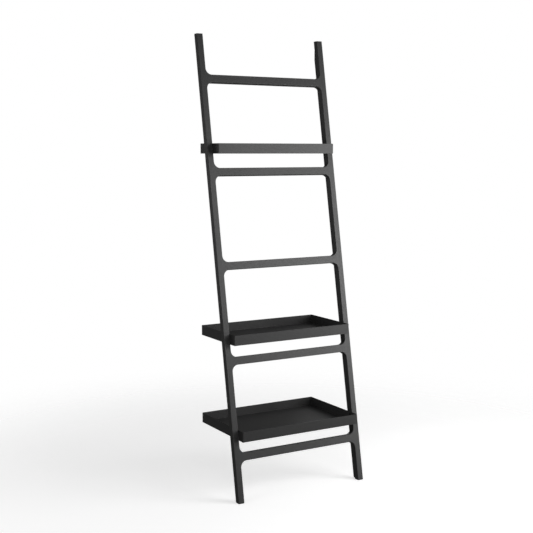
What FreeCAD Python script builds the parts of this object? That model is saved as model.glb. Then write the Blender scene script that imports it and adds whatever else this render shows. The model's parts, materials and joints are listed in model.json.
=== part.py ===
"""Leaning ladder shelf: a filleted ladder frame with three sheet-metal trays between its rails.

Millimetres. +X runs along the rungs, +Y towards the wall that the shelf leans on, +Z up.
The origin is on the floor, halfway between the rails and halfway between feet and wall.
The ladder is drawn upright in its own plane and then leaned back: on the upright frame
Z is the distance up the rail from the foot and Y the depth behind the front face.
"""
import FreeCAD, Part
import os
from math import cos, degrees, radians, sin, tan

# Overall size
WIDTH = 600.0
HEIGHT = 1850.0
DEPTH = 366.0            # front of the feet to the wall
LEAN = radians(10.33)

# Ladder frame
RAIL_WIDTH = 25.5        # seen from the front
FRAME_THICKNESS = 25.5   # front face to back face
EDGE_RADIUS = 1.6
TOP_EDGE_RADIUS = 1.0    # round the level tops of the rails
TOP_EDGE_BAND = 0.6      # height of the band that holds only the edges of those tops
RUNG_HEIGHT = 31.5
RUNG_PITCH = 379.5
BOTTOM_RUNG_TOP = 194.4  # up the rail from the foot
RUNG_COUNT = 5
FLARE_RADIUS = 26.0      # hollow curve where a rung meets a rail
HOUSING = 2.0            # depth that a rung's end is let into the rail

# Stiffening battens behind the rails
BATTEN_WIDTH = 18.0
BATTEN_THICKNESS = 8.0
BATTEN_FLOOR_GAP = 5.0
BATTEN_END_TO_WALL = 10.7
BATTEN_SCREWS_UP_RAIL = (90.0, 370.0, 750.0, 1129.0, 1509.0, 1735.0)

# Trays, top to bottom: height of the rim's lower edge and depth from front to wall
TRAYS = {
    "top_tray": (1370.0, 161.0),
    "middle_tray": (616.0, 287.5),
    "bottom_tray": (241.8, 354.0),
}
TRAY_RIM = 41.3
TRAY_GAP = 0.5           # between a tray's side and the rail
SHEET = 1.5
SHEET_EDGE = 0.45        # radius along the rim's upper and lower edges
TRAY_CORNER = 2.2        # outer radius of the folded corners
FLOOR_RECESS = 3.0       # rim's lower edge to the underside of the tray's floor
WALL_HOLE_SPACING = 400.0
WALL_HOLE_RADIUS = 2.75

# Fixings
DOWEL_RADIUS = 4.0
DOWEL_SPACING = 16.0
DOWEL_IN_RAIL = 14.0
DOWEL_IN_RUNG = 17.0
DOWEL_END_GAP = 0.5
DOWEL_CHAMFER = 0.8
SCREW_RADIUS = 2.45      # tray screws
SCREW_LENGTH = 12.0
SCREW_HOLE_RADIUS = 2.75
HEAD_RADIUS = 4.75
HEAD_HEIGHT = 2.8
HEAD_CROWN = 0.6         # share of the head's height that is rounded
HEX_ACROSS_CORNERS = 3.5
HEX_DEPTH = 1.6
SCREW_HEIGHTS = (11.0, 30.0)   # above the tray's lower edge
INSERT_RADIUS = 4.0
INSERT_BORE = 2.5
INSERT_LENGTH = 13.0
INSERT_FLANGE = 1.5      # how far the flange stands out all round
BATTEN_SCREW_RADIUS = 2.0
BATTEN_SCREW_HEAD = 4.0
BATTEN_SCREW_LENGTH = 27.0
CROSS_REACH = 2.2        # cross recess: half length, half width and depth
CROSS_HALF_WIDTH = 0.5
CROSS_DEPTH = 1.0

# Rubber
PAD_THICKNESS = 2.0
PAD_INSET = 0.5
BUMPER_RADIUS = 5.0
BUMPER_STEM_RADIUS = 2.5
BUMPER_STEM = 12.0
BUMPER_ROUNDING = 0.8

# Places worked out from the sizes above
HALF = WIDTH / 2
INNER = HALF - RAIL_WIDTH               # inner face of a rail
RAIL_MIDDLE = HALF - RAIL_WIDTH / 2
FRONT_Y = -DEPTH / 2
WALL_Y = DEPTH / 2
RAIL_LENGTH = HEIGHT / cos(LEAN)
OVERRUN = 60.0                          # spare length that the level end cuts remove
BATTEN_END_Y = WALL_Y - BATTEN_END_TO_WALL
TRAY_HALF = INNER - TRAY_GAP
SIDES = {"left": -1, "right": 1}
SPARE = 1.0                             # extra reach of a cutting tool past a face
NEAR = 0.01                             # slack when edges are picked by their place

V = FreeCAD.Vector


def box(low, high):
    """Box between two corners."""
    size = [b - a for a, b in zip(low, high)]
    return Part.makeBox(*size, V(*low))


def rounded_box(low, high, radius):
    """Box whose four upright edges are rounded."""
    block = box(low, high)
    return block.makeFillet(radius, [e for e in block.Edges if e.BoundBox.ZLength > NEAR])


def rod(start, direction, length, radius):
    """Cylinder from a point along a direction."""
    return Part.makeCylinder(radius, length, V(*start), V(*direction))


def lean(shape):
    """Stand a shape from the upright frame on the floor, leaning back to the wall."""
    leaned = shape.copy()
    leaned.rotate(V(0, 0, 0), V(1, 0, 0), -degrees(LEAN))
    leaned.translate(V(0, FRONT_Y, PAD_THICKNESS))
    return leaned


def rail_y(height, depth):
    """Y of the point at this height that lies this depth behind the ladder's front face."""
    return FRONT_Y + (height - PAD_THICKNESS) * tan(LEAN) + depth / cos(LEAN)


def mirrored(shape):
    """Copy on the other side of the shelf's middle plane."""
    return shape.mirror(V(0, 0, 0), V(1, 0, 0))


def rung_top(index):
    """Height up the rail of a rung's top edge; rung 1 is the highest."""
    return BOTTOM_RUNG_TOP + RUNG_PITCH * (RUNG_COUNT - index)


def window(bottom, top):
    """Opening between two rungs, with hollow corners, cut right through the frame."""
    r = FLARE_RADIUS
    k = r * (1 - cos(radians(45)))
    x = INNER
    corners = [
        (V(x, 0, bottom + r), V(x - k, 0, bottom + k), V(x - r, 0, bottom)),
        (V(-x + r, 0, bottom), V(-x + k, 0, bottom + k), V(-x, 0, bottom + r)),
        (V(-x, 0, top - r), V(-x + k, 0, top - k), V(-x + r, 0, top)),
        (V(x - r, 0, top), V(x - k, 0, top - k), V(x, 0, top - r)),
    ]
    edges = []
    for here, after in zip(corners, corners[1:] + corners[:1]):
        edges.append(Part.Arc(*here).toShape())
        edges.append(Part.makeLine(here[2], after[0]))
    return Part.Face(Part.Wire(edges)).extrude(V(0, FRAME_THICKNESS, 0))


def long_edges(shape, low, high):
    """Edges in the front and back faces, without those of the two cut ends."""
    found = []
    for edge in shape.Edges:
        b = edge.BoundBox
        in_face = b.YLength < NEAR and (abs(b.YMin) < NEAR or abs(b.YMin - FRAME_THICKNESS) < NEAR)
        at_end = b.ZMax < low + NEAR or b.ZMin > high - NEAR
        if in_face and not at_end:
            found.append(edge)
    return found


def whole_frame():
    """Rails and rungs as one softened outline, before it is divided into its pieces."""
    low, high = -OVERRUN, RAIL_LENGTH + OVERRUN
    frame = box((-HALF, 0, low), (HALF, FRAME_THICKNESS, high))
    tops = [rung_top(i) for i in range(RUNG_COUNT, 0, -1)]
    starts = [low - 2 * FLARE_RADIUS] + tops
    ends = [t - RUNG_HEIGHT for t in tops] + [high + 2 * FLARE_RADIUS]
    for start, end in zip(starts, ends):
        frame = frame.cut(window(start, end))
    return frame.makeFillet(EDGE_RADIUS, long_edges(frame, low, high))


def rung_blank(index):
    """Region of the frame that belongs to one rung with its flared, housed ends."""
    top = rung_top(index) + FLARE_RADIUS
    bottom = rung_top(index) - RUNG_HEIGHT - FLARE_RADIUS
    reach = INNER + HOUSING
    return box((-reach, -SPARE, bottom), (reach, FRAME_THICKNESS + SPARE, top))


def dowel_places(index):
    """Heights up the rail of the two dowels in each end of a rung."""
    middle = rung_top(index) - RUNG_HEIGHT / 2
    return (middle - DOWEL_SPACING / 2, middle + DOWEL_SPACING / 2)


def dowel_rods(index, gap):
    """Four rods across the two joints of a rung, each shortened by the gap at both ends."""
    joint = INNER + HOUSING
    start = joint - DOWEL_IN_RUNG + gap
    length = DOWEL_IN_RAIL + DOWEL_IN_RUNG - 2 * gap
    rods = []
    for height in dowel_places(index):
        right = rod((start, FRAME_THICKNESS / 2, height), (1, 0, 0), length, DOWEL_RADIUS)
        rods += [right, mirrored(right)]
    return rods


def dowel(shape):
    """Rod with chamfered ends."""
    rims = [e for e in shape.Edges if e.Curve.TypeId == "Part::GeomCircle"]
    return shape.makeChamfer(DOWEL_CHAMFER, rims)


def rail(frame, side):
    """One rail: its share of the frame, housed and drilled, cut level at foot and top."""
    low = (0, -SPARE, -2 * OVERRUN)
    high = (HALF + SPARE, FRAME_THICKNESS + SPARE, RAIL_LENGTH + 2 * OVERRUN)
    keep = box(low, high)
    if side < 0:
        keep = mirrored(keep)
    piece = frame.common(keep)
    for index in range(1, RUNG_COUNT + 1):
        piece = piece.cut(rung_blank(index))
        piece = piece.cut(Part.makeCompound(dowel_rods(index, 0)))
    piece = level_ends(lean(piece), PAD_THICKNESS)
    top = [e for e in piece.Edges if e.BoundBox.ZMin > HEIGHT - TOP_EDGE_BAND]
    piece = piece.makeFillet(TOP_EDGE_RADIUS, top)
    return piece.cut(Part.makeCompound(rail_holes(side)))


def level_ends(shape, floor):
    """Keep what lies between a level cut above the floor and the level top of the rails."""
    return shape.common(box((-HALF - SPARE, -DEPTH, floor), (HALF + SPARE, DEPTH, HEIGHT)))


def rail_holes(side):
    """Holes in a rail for the tray inserts, the batten's screws and the bumper's stem."""
    holes = []
    for height, y in fixing_points():
        holes.append(rod((side * INNER, y, height), (side, 0, 0), INSERT_LENGTH + SPARE, INSERT_RADIUS))
    holes += [screw_shank(side, up) for up in BATTEN_SCREWS_UP_RAIL]
    holes.append(bumper_stem(side))
    return holes


def rung(frame, index):
    """One rung with flared ends, drilled for its dowels."""
    piece = frame.common(rung_blank(index))
    return lean(piece.cut(Part.makeCompound(dowel_rods(index, 0))))


def batten(side):
    """Strip behind a rail: its top end is cut upright, parallel to the wall."""
    low = (INNER, FRAME_THICKNESS, -OVERRUN)
    high = (INNER + BATTEN_WIDTH, FRAME_THICKNESS + BATTEN_THICKNESS, RAIL_LENGTH)
    strip = box(low, high)
    back = [e for e in strip.Edges if e.BoundBox.YMin > high[1] - NEAR and e.BoundBox.ZLength > NEAR]
    strip = strip.makeFillet(EDGE_RADIUS, back)
    if side < 0:
        strip = mirrored(strip)
    strip = level_ends(lean(strip), BATTEN_FLOOR_GAP)
    strip = strip.common(box((-HALF, -DEPTH, 0), (HALF, BATTEN_END_Y, HEIGHT)))
    drills = [batten_screw(side, up) for up in BATTEN_SCREWS_UP_RAIL]
    return strip.cut(Part.makeCompound(drills + [bumper_stem(side)]))


def batten_x(side):
    """Centre line of a batten."""
    return side * (INNER + BATTEN_WIDTH / 2)


def screw_shank(side, up):
    """Part of a batten's screw that is inside the rail."""
    shank_in_rail = BATTEN_SCREW_LENGTH - BATTEN_THICKNESS
    start = (batten_x(side), FRAME_THICKNESS, up)
    return lean(rod(start, (0, -1, 0), shank_in_rail, BATTEN_SCREW_RADIUS))


def batten_screw(side, up):
    """Countersunk screw driven through a batten into the rail."""
    back = FRAME_THICKNESS + BATTEN_THICKNESS
    start = (batten_x(side), back, up)
    shank = rod(start, (0, -1, 0), BATTEN_SCREW_LENGTH, BATTEN_SCREW_RADIUS)
    head_depth = BATTEN_SCREW_HEAD - BATTEN_SCREW_RADIUS
    head = Part.makeCone(BATTEN_SCREW_HEAD, BATTEN_SCREW_RADIUS, head_depth, V(*start), V(0, -1, 0))
    return lean(shank.fuse(head).removeSplitter())


def cross_slot(side, up):
    """Cross recess in the head of a batten's screw."""
    back = FRAME_THICKNESS + BATTEN_THICKNESS
    x = batten_x(side)
    long, short = CROSS_REACH, CROSS_HALF_WIDTH
    level = box((x - long, back - CROSS_DEPTH, up - short), (x + long, back + SPARE, up + short))
    upright = box((x - short, back - CROSS_DEPTH, up - long), (x + short, back + SPARE, up + long))
    return lean(level.fuse(upright))


def bumper_height():
    """Middle height of the batten's upright end face."""
    behind_frame = BATTEN_END_Y - rail_y(PAD_THICKNESS, FRAME_THICKNESS)
    top = PAD_THICKNESS + behind_frame / tan(LEAN)
    return top - BATTEN_THICKNESS / cos(LEAN) / tan(LEAN) / 2


def bumper_stem(side):
    """Stem of a wall bumper, let into batten and rail."""
    start = (side * RAIL_MIDDLE, BATTEN_END_Y, bumper_height())
    return rod(start, (0, -1, 0), BUMPER_STEM, BUMPER_STEM_RADIUS)


def wall_bumper(side):
    """Round rubber bumper that keeps the ladder off the wall."""
    start = (side * RAIL_MIDDLE, BATTEN_END_Y, bumper_height())
    body = rod(start, (0, 1, 0), BATTEN_END_TO_WALL, BUMPER_RADIUS)
    rim = [e for e in body.Edges if e.BoundBox.YMin > WALL_Y - NEAR]
    return body.makeFillet(BUMPER_ROUNDING, rim).fuse(bumper_stem(side)).removeSplitter()


def foot_pad(side):
    """Thin rubber pad under the level foot of a rail."""
    depth = FRAME_THICKNESS / cos(LEAN)
    low_x = INNER + PAD_INSET
    high_x = HALF - PAD_INSET
    low = (low_x, FRONT_Y + PAD_INSET, 0)
    high = (high_x, FRONT_Y + depth - PAD_INSET, PAD_THICKNESS)
    pad = rounded_box(low, high, EDGE_RADIUS)
    return pad if side > 0 else mirrored(pad)


def fixing_points():
    """Height and Y of every tray screw, on the middle line of the frame's thickness."""
    points = []
    for name in TRAYS:
        points += tray_fixing_points(name)
    return points


def tray_fixing_points(name):
    """Height and Y of the two screws in each side of one tray."""
    lower_edge = TRAYS[name][0]
    heights = [lower_edge + above for above in SCREW_HEIGHTS]
    return [(height, rail_y(height, FRAME_THICKNESS / 2)) for height in heights]


def tray_rim(name):
    """Upright band round a tray, folded from one strip of sheet, with its fixing holes."""
    lower_edge, depth = TRAYS[name]
    low = (-TRAY_HALF, WALL_Y - depth, lower_edge)
    high = (TRAY_HALF, WALL_Y, lower_edge + TRAY_RIM)
    outside = rounded_box(low, high, TRAY_CORNER)
    inner_low = (low[0] + SHEET, low[1] + SHEET, low[2] - SPARE)
    inner_high = (high[0] - SHEET, high[1] - SHEET, high[2] + SPARE)
    band = outside.cut(rounded_box(inner_low, inner_high, TRAY_CORNER - SHEET))
    band = band.makeFillet(SHEET_EDGE, [e for e in band.Edges if e.BoundBox.ZLength < NEAR])
    for height, y in tray_fixing_points(name):
        band = band.cut(rod((-HALF, y, height), (1, 0, 0), WIDTH, SCREW_HOLE_RADIUS))
    if name == "top_tray":
        band = band.cut(Part.makeCompound(wall_fixing_holes(lower_edge)))
    return band


def wall_fixing_holes(lower_edge):
    """Two holes through the top tray's back wall, for screws into the wall."""
    height = lower_edge + TRAY_RIM / 2
    start_y = WALL_Y - 2 * SHEET
    holes = []
    for x in (-WALL_HOLE_SPACING / 2, WALL_HOLE_SPACING / 2):
        holes.append(rod((x, start_y, height), (0, 1, 0), 3 * SHEET, WALL_HOLE_RADIUS))
    return holes


def tray_floor(name):
    """Flat sheet welded inside the band, a little above its lower edge."""
    lower_edge, depth = TRAYS[name]
    low = (-TRAY_HALF + SHEET, WALL_Y - depth + SHEET, lower_edge + FLOOR_RECESS)
    high = (TRAY_HALF - SHEET, WALL_Y - SHEET, lower_edge + FLOOR_RECESS + SHEET)
    return rounded_box(low, high, TRAY_CORNER - SHEET)


def tray_screw(height, y):
    """Button-head screw through the right side of a tray, with a hexagon socket."""
    under_head = TRAY_HALF - SHEET
    shank = rod((under_head, y, height), (1, 0, 0), SCREW_LENGTH, SCREW_RADIUS)
    head = rod((under_head, y, height), (-1, 0, 0), HEAD_HEIGHT, HEAD_RADIUS)
    crown = [e for e in head.Edges if e.BoundBox.XMax < under_head - HEAD_HEIGHT + NEAR]
    head = head.makeFillet(HEAD_HEIGHT * HEAD_CROWN, crown)
    mouth = under_head - HEAD_HEIGHT
    corners = []
    for step in range(7):
        turn = radians(60 * step)
        reach = HEX_ACROSS_CORNERS / 2
        corners.append(V(mouth, y + reach * cos(turn), height + reach * sin(turn)))
    socket = Part.Face(Part.makePolygon(corners)).extrude(V(HEX_DEPTH, 0, 0))
    return shank.fuse(head).cut(socket).removeSplitter()


def thread_insert(height, y):
    """Flanged sleeve in the right rail that a tray screw turns into."""
    body = rod((INNER, y, height), (1, 0, 0), INSERT_LENGTH, INSERT_RADIUS)
    flange = rod((TRAY_HALF, y, height), (1, 0, 0), TRAY_GAP, INSERT_RADIUS + INSERT_FLANGE)
    bore = rod((TRAY_HALF, y, height), (1, 0, 0), INSERT_LENGTH + SPARE, INSERT_BORE)
    return body.fuse(flange).cut(bore).removeSplitter()


def on_both_sides(make, name):
    """A tray's four like fixings, two in each rail, as separate solids."""
    right = [make(height, y) for height, y in tray_fixing_points(name)]
    return Part.makeCompound(right + [mirrored(piece) for piece in right])


def frame_pieces():
    """Rails, rungs, dowels, battens and their screws, by name."""
    frame = whole_frame()
    pieces = {}
    for name, side in SIDES.items():
        pieces[name + "_rail"] = rail(frame, side)
        pieces[name + "_batten"] = batten(side)
        screws = [batten_screw(side, up).cut(cross_slot(side, up)) for up in BATTEN_SCREWS_UP_RAIL]
        pieces[name + "_batten_screws"] = Part.makeCompound(screws)
        pieces[name + "_foot_pad"] = foot_pad(side)
        pieces[name + "_wall_bumper"] = wall_bumper(side)
    for index in range(1, RUNG_COUNT + 1):
        pieces["rung_%d" % index] = rung(frame, index)
        dowels = [lean(dowel(r)) for r in dowel_rods(index, DOWEL_END_GAP)]
        pieces["rung_%d_dowels" % index] = Part.makeCompound(dowels)
    return pieces


def tray_pieces():
    """Rims, floors, screws and threaded inserts of the three trays, by name."""
    pieces = {}
    for name in TRAYS:
        pieces[name + "_rim"] = tray_rim(name)
        pieces[name + "_floor"] = tray_floor(name)
        pieces[name + "_screws"] = on_both_sides(tray_screw, name)
        pieces[name + "_inserts"] = on_both_sides(thread_insert, name)
    return pieces


def main():
    os.makedirs("parts", exist_ok=True)
    pieces = {**frame_pieces(), **tray_pieces()}
    for name, shape in pieces.items():
        shape.exportStep("parts/" + name + ".step")
        b = shape.BoundBox
        report = (name, len(shape.Solids), shape.isValid(), round(shape.Volume))
        low_high = [round(v, 2) for v in (b.XMin, b.XMax, b.YMin, b.YMax, b.ZMin, b.ZMax)]
        print(*report, *low_high)


main()
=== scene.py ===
"""Ladder shelf: finishes, welded seams and a small studio for a leaning ladder with three trays.

Everything is in metres. +X runs along the rungs, +Y towards the wall, +Z up, and the origin is on
the floor under the middle of the shelf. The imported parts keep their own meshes. Each operator below
dresses one group of like pieces, or adds what is only surface: the weld seams inside the trays.
"""
import json
from math import cos, pi, radians, sin

import bmesh
import bpy
from bpy.props import FloatProperty, FloatVectorProperty, PointerProperty
from bpy.types import Operator, Panel, PropertyGroup
from mathutils import Euler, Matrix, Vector


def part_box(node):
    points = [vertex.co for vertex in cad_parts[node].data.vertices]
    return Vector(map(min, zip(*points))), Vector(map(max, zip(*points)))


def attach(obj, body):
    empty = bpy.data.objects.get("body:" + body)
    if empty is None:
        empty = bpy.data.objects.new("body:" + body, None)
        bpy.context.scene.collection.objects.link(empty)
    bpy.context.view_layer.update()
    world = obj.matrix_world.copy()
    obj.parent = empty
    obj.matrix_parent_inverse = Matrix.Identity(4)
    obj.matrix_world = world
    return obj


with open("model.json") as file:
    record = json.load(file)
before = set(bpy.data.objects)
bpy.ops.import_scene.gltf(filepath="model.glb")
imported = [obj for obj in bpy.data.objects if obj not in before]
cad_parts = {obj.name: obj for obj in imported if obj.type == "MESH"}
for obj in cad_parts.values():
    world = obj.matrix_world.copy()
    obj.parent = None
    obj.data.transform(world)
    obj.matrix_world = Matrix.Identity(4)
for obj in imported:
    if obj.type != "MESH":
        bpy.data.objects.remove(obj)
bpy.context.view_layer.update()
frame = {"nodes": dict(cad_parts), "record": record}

bl_info = {
    "name": "Ladder Shelf",
    "version": (1, 0, 0),
    "blender": (4, 5, 0),
    "location": "View3D > Sidebar > Ladder Shelf",
    "description": "Finishes for a leaning ladder shelf with three sheet-steel trays",
    "category": "Object",
}

SLOT_COLOUR = {m["slot"]: m["base_color"][:3] for m in frame["record"]["materials"]}
MILLIMETRE = 0.001

# Names of the like pieces
SIDES = ("left", "right")
RAILS = [side + "_rail" for side in SIDES]
BATTENS = [side + "_batten" for side in SIDES]
RUNGS = sorted(name for name in frame["nodes"] if name.startswith("rung_") and "dowels" not in name)
DOWELS = [rung + "_dowels" for rung in RUNGS]
TRAYS = ("top_tray", "middle_tray", "bottom_tray")
TRAY_RIMS = [tray + "_rim" for tray in TRAYS]
TRAY_FLOORS = [tray + "_floor" for tray in TRAYS]
TRAY_SCREWS = [tray + "_screws" for tray in TRAYS]
INSERTS = [tray + "_inserts" for tray in TRAYS]
BATTEN_SCREWS = [batten + "_screws" for batten in BATTENS]
FOOT_PADS = [side + "_foot_pad" for side in SIDES]
BUMPERS = [side + "_wall_bumper" for side in SIDES]

# The ladder's own plane, worked out from two rungs
UPPER_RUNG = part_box(RUNGS[0])[0]
LOWER_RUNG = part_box(RUNGS[-1])[0]
RISE = UPPER_RUNG - LOWER_RUNG
UP_RAIL = Vector((0, RISE.y, RISE.z)).normalized()


# ---------------------------------------------------------------- shader graphs

class Wire:
    """An output of a node. Python's arithmetic on it adds Math nodes."""

    def __init__(self, graph, socket):
        self.graph = graph
        self.socket = socket

    def maths(self, operation, *values):
        return self.graph.node("Math", {"operation": operation}, dict(enumerate(values)))

    def __add__(self, other):
        return self.maths("ADD", self, other)

    def __radd__(self, other):
        return self.maths("ADD", other, self)

    def __sub__(self, other):
        return self.maths("SUBTRACT", self, other)

    def __rsub__(self, other):
        return self.maths("SUBTRACT", other, self)

    def __mul__(self, other):
        return self.maths("MULTIPLY", self, other)

    def __rmul__(self, other):
        return self.maths("MULTIPLY", other, self)


class Graph:
    """The node tree of a material or a world while it is wired."""

    def __init__(self, owner):
        owner.use_nodes = True
        self.tree = owner.node_tree
        self.tree.nodes.clear()

    def node(self, kind, settings=None, sockets=None, output=0):
        """Add a node: its settings first, then values or wires into its sockets. Returns an output."""
        made = self.tree.nodes.new("ShaderNode" + kind)
        for name, value in (settings or {}).items():
            if name == "stops":
                self.place_stops(made.color_ramp, value)
            else:
                setattr(made, name, value)
        for name, value in (sockets or {}).items():
            if isinstance(value, Wire):
                self.tree.links.new(value.socket, made.inputs[name])
            else:
                made.inputs[name].default_value = value
        return Wire(self, made.outputs[output]) if made.outputs else None

    def place_stops(self, ramp, stops):
        """Give a colour ramp these (position, grey level) stops."""
        while len(ramp.elements) < len(stops):
            ramp.elements.new(1.0)
        for element, (position, level) in zip(ramp.elements, stops):
            element.position = position
            element.color = (level, level, level, 1.0)

    def noise(self, vector, scale, detail=3.0, roughness=0.5):
        """Fractal noise between 0 and 1; scale is in grains a metre."""
        sockets = {"Vector": vector, "Scale": scale, "Detail": detail, "Roughness": roughness}
        return self.node("TexNoise", None, sockets)

    def ramp(self, value, *stops):
        """Value through a ramp of (position, level) stops."""
        return self.node("ValToRGB", {"stops": stops}, {"Fac": value})

    def colour_mix(self, mask, first, second):
        """First colour where the mask is 0, second where it is 1."""
        sockets = {"Factor": mask, "A": rgba(first), "B": rgba(second)}
        sockets = {COLOUR_MIX_SOCKETS[name]: value for name, value in sockets.items()}
        return self.node("Mix", {"data_type": "RGBA"}, sockets, COLOUR_MIX_RESULT)

    def bump(self, height, depth, strength=1.0, below=None):
        """Bump from a 0 to 1 height that stands for this many metres."""
        sockets = {"Height": height, "Distance": depth, "Strength": strength}
        if below is not None:
            sockets["Normal"] = below
        return self.node("Bump", None, sockets)

    def edge(self, reach):
        """Mask that rises towards outer edges, within this many metres of them."""
        settings = {"inside": True, "only_local": True, "samples": EDGE_SAMPLES}
        inside = self.node("AmbientOcclusion", settings, {"Distance": reach}, "AO")
        return self.ramp(1.0 - inside, *EDGE_STOPS)

    def surface(self, sockets, clear=None):
        """A Principled surface, joined to the material's output; it is see-through where clear is 1."""
        shader = self.node("BsdfPrincipled", None, sockets)
        if clear is not None:
            shader = self.node("MixShader", None, {0: clear, 1: shader, 2: self.node("BsdfTransparent")})
        self.node("OutputMaterial", None, {"Surface": shader})


# How the edge mask samples the mesh, and how much of its reach counts as an edge
EDGE_SAMPLES = 6
EDGE_STOPS = ((0.08, 0.0), (0.5, 1.0))

# Sockets of a colour Mix node, which share their names with its number and vector sockets
COLOUR_MIX_SOCKETS = {"Factor": 0, "A": 6, "B": 7}
COLOUR_MIX_RESULT = 2


def rgba(colour):
    """A wire as it is, or a plain colour with its alpha."""
    return colour if isinstance(colour, Wire) else (*colour, 1.0)


def shade(colour, factor):
    """A colour made darker or lighter."""
    return tuple(channel * factor for channel in colour)


def new_material(name):
    """An empty material and its graph."""
    material = bpy.data.materials.new(name)
    return material, Graph(material)


# ---------------------------------------------------------------- finishes

def lacquered_wood(name, finish, grain_axis):
    """Satin lacquer over fine-pored wood whose grain runs along one axis of the ladder's plane."""
    material, graph = new_material(name)
    place = graph.node("TexCoord", None, None, "Object")
    lean = UP_RAIL.angle(Vector((0, 0, 1)))
    turn = {"rotation_type": "X_AXIS"}
    flat = graph.node("VectorRotate", turn, {"Vector": place, "Angle": lean})
    stretch = [1.0, 1.0, 1.0]
    stretch[grain_axis] = finish.grain_width / finish.grain_length
    fibres = graph.node("VectorMath", {"operation": "MULTIPLY"}, {0: flat, 1: stretch})
    pores = graph.ramp(graph.noise(fibres, 1 / finish.grain_width, 2.0), (0.34, 0.0), (0.46, 1.0))
    rings = graph.noise(fibres, 0.12 / finish.grain_width, 3.0, 0.6)
    cloud = graph.noise(flat, 9.0, 2.0)
    film = graph.noise(flat, 1 / finish.film_size, 2.0)
    edge = graph.edge(4 * MILLIMETRE)
    tone = graph.colour_mix(rings, shade(finish.colour, 0.93), shade(finish.colour, 1.07))
    # Painted highlight: the lacquer's colour is made lighter along the rounded edges, where the lacquer
    # film is also thinner
    tone = graph.colour_mix(edge * 0.35, tone, shade(finish.colour, 1.5))
    rough = finish.roughness + 0.05 * (cloud - 0.5) + 0.04 * (1.0 - pores) - 0.04 * edge
    relief = graph.bump(pores, finish.grain_depth)
    relief = graph.bump(film, finish.film_depth, 1.0, relief)
    graph.surface({"Base Color": tone, "Roughness": rough, "Normal": relief})
    return material


def powder_coat(name, finish):
    """Fine satin powder coat on sheet steel: slightly pebbled, with a painted highlight that lightens its
    edges.
    """
    material, graph = new_material(name)
    place = graph.node("TexCoord", None, None, "Object")
    pebbles = graph.noise(place, 1 / finish.pebble_size, 2.0, 0.6)
    swell = graph.noise(place, 0.12 / finish.pebble_size, 2.0)
    cloud = graph.noise(place, 6.0, 3.0)
    edge = graph.edge(0.7 * MILLIMETRE)
    tone = graph.colour_mix(cloud, shade(finish.colour, 0.94), shade(finish.colour, 1.06))
    # Painted highlight: the coat's colour is made lighter along the sheet's edges
    tone = graph.colour_mix(edge * 0.3, tone, shade(finish.colour, 1.3))
    rough = finish.roughness + 0.06 * (cloud - 0.5) + 0.05 * (pebbles - 0.5)
    relief = graph.bump(swell, 2.0 * finish.pebble_depth, 0.5)
    relief = graph.bump(pebbles, finish.pebble_depth, 1.0, relief)
    graph.surface({"Base Color": tone, "Roughness": rough, "Normal": relief})
    return material


def blackened_steel(name, colour):
    """Oil-blackened screw steel, rubbed lighter on its edges."""
    material, graph = new_material(name)
    place = graph.node("TexCoord", None, None, "Object")
    stain = graph.noise(place, 900.0, 3.0)
    edge = graph.edge(0.5 * MILLIMETRE)
    tone = graph.colour_mix(stain, shade(colour, 0.8), shade(colour, 1.2))
    tone = graph.colour_mix(edge * 0.5, tone, shade(colour, 3.0))
    relief = graph.bump(stain, 0.02 * MILLIMETRE)
    rough = 0.38 + 0.14 * stain
    graph.surface({"Base Color": tone, "Metallic": 0.8, "Roughness": rough, "Normal": relief})
    return material


def zinc_plate(name, colour):
    """Bright zinc with turning marks round each sleeve."""
    material, graph = new_material(name)
    place = graph.node("TexCoord", None, None, "Object")
    turning = {"Vector": place, "Scale": 700.0, "Distortion": 0.4}
    bands = graph.node("TexWave", {"bands_direction": "X"}, turning)
    stain = graph.noise(place, 250.0, 3.0)
    tone = graph.colour_mix(stain, shade(colour, 0.85), shade(colour, 1.1))
    relief = graph.bump(bands, 0.01 * MILLIMETRE)
    rough = 0.28 + 0.12 * stain
    graph.surface({"Base Color": tone, "Metallic": 1.0, "Roughness": rough, "Normal": relief})
    return material


def moulded_rubber(name, colour):
    """Matt black rubber with a fine moulded skin and a dusty bloom."""
    material, graph = new_material(name)
    place = graph.node("TexCoord", None, None, "Object")
    skin = graph.noise(place, 2500.0, 2.0)
    bloom = graph.noise(place, 120.0, 3.0)
    tone = graph.colour_mix(bloom, colour, shade(colour, 1.8))
    relief = graph.bump(skin, 0.04 * MILLIMETRE)
    rough = 0.78 + 0.12 * bloom
    graph.surface({"Base Color": tone, "Roughness": rough, "Normal": relief, "Specular IOR Level": 0.35})
    return material


def beech(name, colour):
    """Bare beech: pale ground with short darker flecks along the dowels."""
    material, graph = new_material(name)
    place = graph.node("TexCoord", None, None, "Object")
    fibres = graph.node("VectorMath", {"operation": "MULTIPLY"}, {0: place, 1: (0.12, 1.0, 1.0)})
    fleck = graph.ramp(graph.noise(fibres, 1400.0, 2.0), (0.4, 1.0), (0.55, 0.0))
    rings = graph.noise(fibres, 250.0, 3.0)
    tone = graph.colour_mix(rings, shade(colour, 0.85), shade(colour, 1.1))
    tone = graph.colour_mix(fleck * 0.5, tone, shade(colour, 0.5))
    relief = graph.bump(1.0 - fleck, 0.05 * MILLIMETRE)
    graph.surface({"Base Color": tone, "Roughness": 0.62 + 0.1 * fleck, "Normal": relief})
    return material


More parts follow.
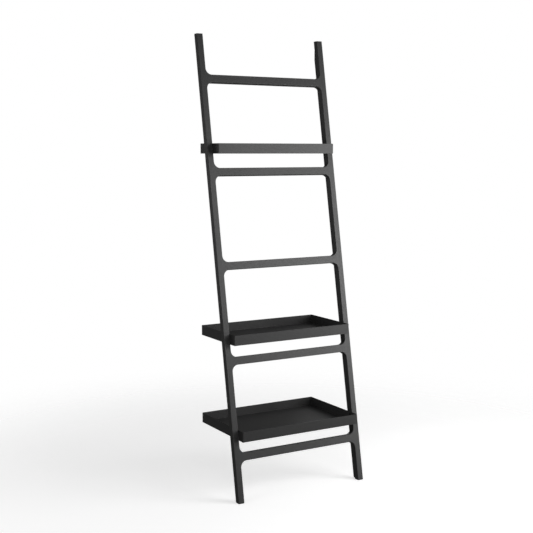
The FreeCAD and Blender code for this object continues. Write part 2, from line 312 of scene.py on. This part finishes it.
def floor_paint(name, studio):
    """Pale matt floor with a faint cloudiness, which melts into the backdrop away from the shelf."""
    material, graph = new_material(name)
    place = graph.node("TexCoord", None, None, "Object")
    cloud = graph.noise(place, 1.5, 4.0)
    tone = graph.colour_mix(cloud, shade(studio.floor, 0.985), studio.floor)
    rough = 0.85 + 0.1 * cloud
    away = graph.node("VectorMath", {"operation": "LENGTH"}, {0: place}, "Value")
    reach = {"Value": away, "From Min": studio.floor_near, "From Max": studio.floor_far}
    clear = graph.node("MapRange", {"interpolation_type": "SMOOTHERSTEP"}, reach)
    glow = {"Emission Color": (1.0, 1.0, 1.0, 1.0), "Emission Strength": studio.floor_glow}
    graph.surface({"Base Color": tone, "Roughness": rough, "Specular IOR Level": 0.2, **glow}, clear)
    return material


def dress(names, material):
    """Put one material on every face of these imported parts."""
    for name in names:
        mesh = frame["nodes"][name].data
        mesh.materials.clear()
        mesh.materials.append(material)


# ---------------------------------------------------------------- settings

def colour_setting(name, description, default):
    return FloatVectorProperty(
        name=name, description=description, subtype="COLOR", size=3, min=0.0, max=1.0, default=default
    )


def length_setting(name, description, default):
    return FloatProperty(
        name=name, description=description, unit="LENGTH", precision=5, min=0.0, default=default
    )


def share_setting(name, description, default):
    return FloatProperty(
        name=name, description=description, subtype="FACTOR", min=0.0, max=1.0, default=default
    )


def angle_setting(name, description, degrees):
    return FloatProperty(name=name, description=description, subtype="ANGLE", default=radians(degrees))


class LadderFinish(PropertyGroup):
    """Lacquer and grain of the rails, rungs and battens"""

    colour: colour_setting("Lacquer", "Colour of the lacquered wood", SLOT_COLOUR["frame_lacquer"])
    roughness: share_setting("Roughness", "How matt the lacquer is", 0.46)
    grain_width: length_setting("Grain width", "Width of one pore of the wood", 0.0009)
    grain_length: length_setting("Grain length", "Length of one pore of the wood", 0.018)
    grain_depth: length_setting("Grain depth", "How far the pores sink under the lacquer", 0.00004)
    film_size: length_setting("Film ripple", "Size of the ripple in the lacquer film", 0.0025)
    film_depth: length_setting("Film depth", "Height of the ripple in the lacquer film", 0.000015)


class TrayFinish(PropertyGroup):
    """Powder coat and weld seams of the three trays"""

    colour: colour_setting("Powder coat", "Colour of the coated sheet steel", SLOT_COLOUR["tray_coating"])
    roughness: share_setting("Roughness", "How matt the powder coat is", 0.48)
    pebble_size: length_setting("Pebble size", "Size of the texture in the coat", 0.0007)
    pebble_depth: length_setting("Pebble depth", "Height of the texture in the coat", 0.000028)
    seam: length_setting("Seam", "Radius of the weld between floor and rim", 0.001)


class FittingFinish(PropertyGroup):
    """Colours of the screws, sleeves, dowels and rubber parts"""

    screw: colour_setting("Screws", "Colour of the blackened screws", SLOT_COLOUR["black_steel"])
    sleeve: colour_setting("Sleeves", "Colour of the threaded sleeves", SLOT_COLOUR["zinc_steel"])
    dowel: colour_setting("Dowels", "Colour of the beech dowels", SLOT_COLOUR["beech"])
    rubber: colour_setting("Rubber", "Colour of the foot pads and wall bumpers", SLOT_COLOUR["rubber"])


class StudioSettings(PropertyGroup):
    """Floor, lights and camera"""

    floor: colour_setting("Floor", "Colour of the floor", (0.8, 0.8, 0.8))
    floor_glow: share_setting("Floor glow", "Light that the floor gives off, as a lit table does", 0.58)
    floor_near: length_setting("Solid floor", "Distance from the shelf where the floor starts to fade", 0.6)
    floor_far: length_setting("Floor's end", "Distance from the shelf where the floor has faded out", 2.4)
    backdrop: colour_setting("Backdrop", "Colour seen behind the shelf", (1.0, 1.0, 1.0))
    ambience: share_setting("Ambience", "Strength of the light from all round", 0.085)
    camera_place: FloatVectorProperty(
        name="Camera", description="Place of the camera", subtype="TRANSLATION", unit="LENGTH",
        default=(-2.133, -3.516, 1.376)
    )
    heading: angle_setting("Heading", "Turn of the camera to the right of straight ahead", 30.44)
    tilt: angle_setting("Tilt", "How far the camera looks down", 6.52)
    lens: FloatProperty(name="Lens", description="Focal length", subtype="DISTANCE_CAMERA", default=67.6)


FLOOR_SIDES = 64

GROUPS = {
    "ladder_finish": LadderFinish,
    "tray_finish": TrayFinish,
    "fitting_finish": FittingFinish,
    "studio": StudioSettings,
}

# Softboxes, by name: place, point that it faces, width, height, power in watts
LIGHTS = {
    "key_low": ((2.0, -1.7, 0.85), (0.0, 0.0, 0.85), 1.2, 1.7, 34.0),
    "key_high": ((1.05, -1.5, 1.55), (0.0, 0.0, 1.2), 1.2, 1.2, 16.0),
    "front_low": ((-0.6, -2.8, 0.7), (0.0, 0.0, 0.7), 1.2, 1.2, 11.0),
    "fill_high": ((-1.3, -2.25, 3.0), (0.0, 0.0, 0.9), 1.6, 1.6, 11.0),
    "left": ((-2.6, -0.6, 1.2), (0.0, 0.0, 1.0), 1.2, 1.6, 11.0),
    "back_left": ((-2.0, 1.9, 1.3), (0.0, 0.0, 1.0), 1.2, 1.6, 4.0),
    "back_right": ((2.25, 1.5, 1.3), (0.0, 0.0, 1.0), 1.2, 1.6, 7.0),
    "wall_glow": ((0.8, 0.4, 1.05), (0.8, 0.0, 1.05), 0.9, 1.6, 0.8),
}


# ---------------------------------------------------------------- meshes

# The weld's depth into the sheet, the facets of its hollow face, and its least sharp edge
SEAM_ROOT = 0.1 * MILLIMETRE
SEAM_STEPS = 6
SHARP_ANGLE = radians(40)

def weld_seam(name, tray, radius):
    """Hollow-faced bead where a tray's floor meets its rim, swept round the floor's four sides."""
    low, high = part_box(tray + "_floor")
    profile = [(-SEAM_ROOT, -SEAM_ROOT), (radius, -SEAM_ROOT)]
    for step in range(SEAM_STEPS + 1):
        turn = pi / 2 * step / SEAM_STEPS
        profile.append((radius - radius * sin(turn), radius - radius * cos(turn)))
    profile.append((-SEAM_ROOT, radius))
    rings = []
    mesh = bmesh.new()
    for across, along in ((1, 1), (-1, 1), (-1, -1), (1, -1)):
        ring = []
        for inward, up in profile:
            x = high.x - inward if across > 0 else low.x + inward
            y = high.y - inward if along > 0 else low.y + inward
            ring.append(mesh.verts.new((x, y, high.z + up)))
        rings.append(ring)
    for ring, following in zip(rings, rings[1:] + rings[:1]):
        for index in range(len(ring)):
            after = (index + 1) % len(ring)
            mesh.faces.new((ring[index], ring[after], following[after], following[index]))
    bmesh.ops.recalc_face_normals(mesh, faces=mesh.faces)
    data = bpy.data.meshes.new(name)
    mesh.to_mesh(data)
    mesh.free()
    seam = bpy.data.objects.new(name, data)
    bpy.context.scene.collection.objects.link(seam)
    data.shade_smooth()
    data.set_sharp_from_angle(angle=SHARP_ANGLE)
    return seam


def soft_light(name, place, target, width, height, power):
    """A rectangular softbox that faces a point."""
    lamp = bpy.data.lights.new(name, "AREA")
    lamp.shape = "RECTANGLE"
    lamp.size = width
    lamp.size_y = height
    lamp.energy = power
    box = bpy.data.objects.new(name, lamp)
    box.location = place
    box.rotation_euler = (Vector(target) - Vector(place)).to_track_quat("-Z", "Y").to_euler()
    box.visible_camera = False
    bpy.context.scene.collection.objects.link(box)
    return box


# ---------------------------------------------------------------- operators

class LADDERSHELF_OT_rails(Operator):
    """Lacquer the two rails and the battens behind them, with the grain running up them"""

    bl_idname = "ladder_shelf.rails"
    bl_label = "Rails and battens"

    def execute(self, context):
        dress(RAILS + BATTENS, lacquered_wood("rail_lacquer", context.scene.ladder_finish, 2))
        return {"FINISHED"}


class LADDERSHELF_OT_rungs(Operator):
    """Lacquer the rungs, with the grain running along them"""

    bl_idname = "ladder_shelf.rungs"
    bl_label = "Rungs"

    def execute(self, context):
        dress(RUNGS, lacquered_wood("rung_lacquer", context.scene.ladder_finish, 0))
        return {"FINISHED"}


class LADDERSHELF_OT_trays(Operator):
    """Powder coat the trays and weld their floors in"""

    bl_idname = "ladder_shelf.trays"
    bl_label = "Trays"

    def execute(self, context):
        finish = context.scene.tray_finish
        coat = powder_coat("tray_powder_coat", finish)
        dress(TRAY_RIMS + TRAY_FLOORS, coat)
        for tray in TRAYS:
            seam = weld_seam(tray + "_weld_seam", tray, finish.seam)
            seam.data.materials.append(coat)
            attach(seam, "root")
        return {"FINISHED"}


class LADDERSHELF_OT_screws(Operator):
    """Blacken the tray screws and the battens' screws"""

    bl_idname = "ladder_shelf.screws"
    bl_label = "Screws"

    def execute(self, context):
        colour = context.scene.fitting_finish.screw
        dress(TRAY_SCREWS + BATTEN_SCREWS, blackened_steel("blackened_steel", colour))
        return {"FINISHED"}


class LADDERSHELF_OT_joinery(Operator):
    """Finish the hidden joinery: threaded sleeves and dowels"""

    bl_idname = "ladder_shelf.joinery"
    bl_label = "Sleeves and dowels"

    def execute(self, context):
        colours = context.scene.fitting_finish
        dress(INSERTS, zinc_plate("zinc_plate", colours.sleeve))
        dress(DOWELS, beech("bare_beech", colours.dowel))
        return {"FINISHED"}


class LADDERSHELF_OT_rubber(Operator):
    """Finish the foot pads and wall bumpers"""

    bl_idname = "ladder_shelf.rubber"
    bl_label = "Foot pads and bumpers"

    def execute(self, context):
        dress(FOOT_PADS + BUMPERS, moulded_rubber("moulded_rubber", context.scene.fitting_finish.rubber))
        return {"FINISHED"}


class LADDERSHELF_OT_studio(Operator):
    """Set up the floor, the soft lights, the pale surroundings and the camera"""

    bl_idname = "ladder_shelf.studio"
    bl_label = "Studio"

    def execute(self, context):
        studio = context.scene.studio
        self.lay_floor(context, studio)
        self.light_surroundings(context, studio)
        for name, (place, target, width, height, power) in LIGHTS.items():
            soft_light(name, place, target, width, height, power)
        self.place_camera(context, studio)
        context.scene.view_settings.view_transform = "Standard"
        return {"FINISHED"}

    def lay_floor(self, context, studio):
        """A round pale floor under the feet; it takes shadows, and throws no light back on the shelf."""
        mesh = bmesh.new()
        bmesh.ops.create_circle(mesh, cap_ends=True, segments=FLOOR_SIDES, radius=studio.floor_far)
        data = bpy.data.meshes.new("floor")
        mesh.to_mesh(data)
        mesh.free()
        data.materials.append(floor_paint("floor_paint", studio))
        floor = bpy.data.objects.new("floor", data)
        floor.visible_diffuse = False
        floor.visible_glossy = False
        context.scene.collection.objects.link(floor)

    def light_surroundings(self, context, studio):
        """Pale behind the shelf, and dimmer as a source of light."""
        world = bpy.data.worlds.new("surroundings")
        context.scene.world = world
        graph = Graph(world)
        seen = graph.node("LightPath", None, None, "Is Camera Ray")
        shown = graph.node("Background", None, {"Color": rgba(studio.backdrop), "Strength": 1.0})
        cast = graph.node("Background", None, {"Color": (1.0, 1.0, 1.0, 1.0), "Strength": studio.ambience})
        both = graph.node("MixShader", None, {0: seen, 1: cast, 2: shown})
        graph.node("OutputWorld", None, {"Surface": both})

    def place_camera(self, context, studio):
        """The camera stands in front and to the left, a little above half the shelf's height."""
        camera = bpy.data.cameras.new("camera")
        camera.lens = studio.lens
        stand = bpy.data.objects.new("camera", camera)
        stand.location = studio.camera_place
        stand.rotation_euler = Euler((pi / 2 - studio.tilt, 0.0, -studio.heading))
        context.scene.collection.objects.link(stand)
        context.scene.camera = stand


OPERATORS = (
    LADDERSHELF_OT_rails,
    LADDERSHELF_OT_rungs,
    LADDERSHELF_OT_trays,
    LADDERSHELF_OT_screws,
    LADDERSHELF_OT_joinery,
    LADDERSHELF_OT_rubber,
    LADDERSHELF_OT_studio,
)


class LADDERSHELF_PT_sidebar(Panel):
    """Settings and operators of the ladder shelf"""

    bl_idname = "LADDERSHELF_PT_sidebar"
    bl_label = "Ladder Shelf"
    bl_space_type = "VIEW_3D"
    bl_region_type = "UI"
    bl_category = "Ladder Shelf"

    def draw(self, context):
        for group, settings in GROUPS.items():
            section = self.layout.box()
            section.label(text=group.replace("_", " ").capitalize())
            for setting in settings.__annotations__:
                section.prop(getattr(context.scene, group), setting)
        for operator in OPERATORS:
            self.layout.operator(operator.bl_idname)


def register():
    for settings in GROUPS.values():
        bpy.utils.register_class(settings)
    for group, settings in GROUPS.items():
        setattr(bpy.types.Scene, group, PointerProperty(type=settings))
    for operator in OPERATORS:
        bpy.utils.register_class(operator)
    bpy.utils.register_class(LADDERSHELF_PT_sidebar)


def unregister():
    bpy.utils.unregister_class(LADDERSHELF_PT_sidebar)
    for operator in reversed(OPERATORS):
        bpy.utils.unregister_class(operator)
    for group, settings in reversed(GROUPS.items()):
        delattr(bpy.types.Scene, group)
        bpy.utils.unregister_class(settings)


def main():
    register()
    for operator in OPERATORS:
        group, name = operator.bl_idname.split(".")
        getattr(getattr(bpy.ops, group), name)()


if __name__ == "__main__":
    main()
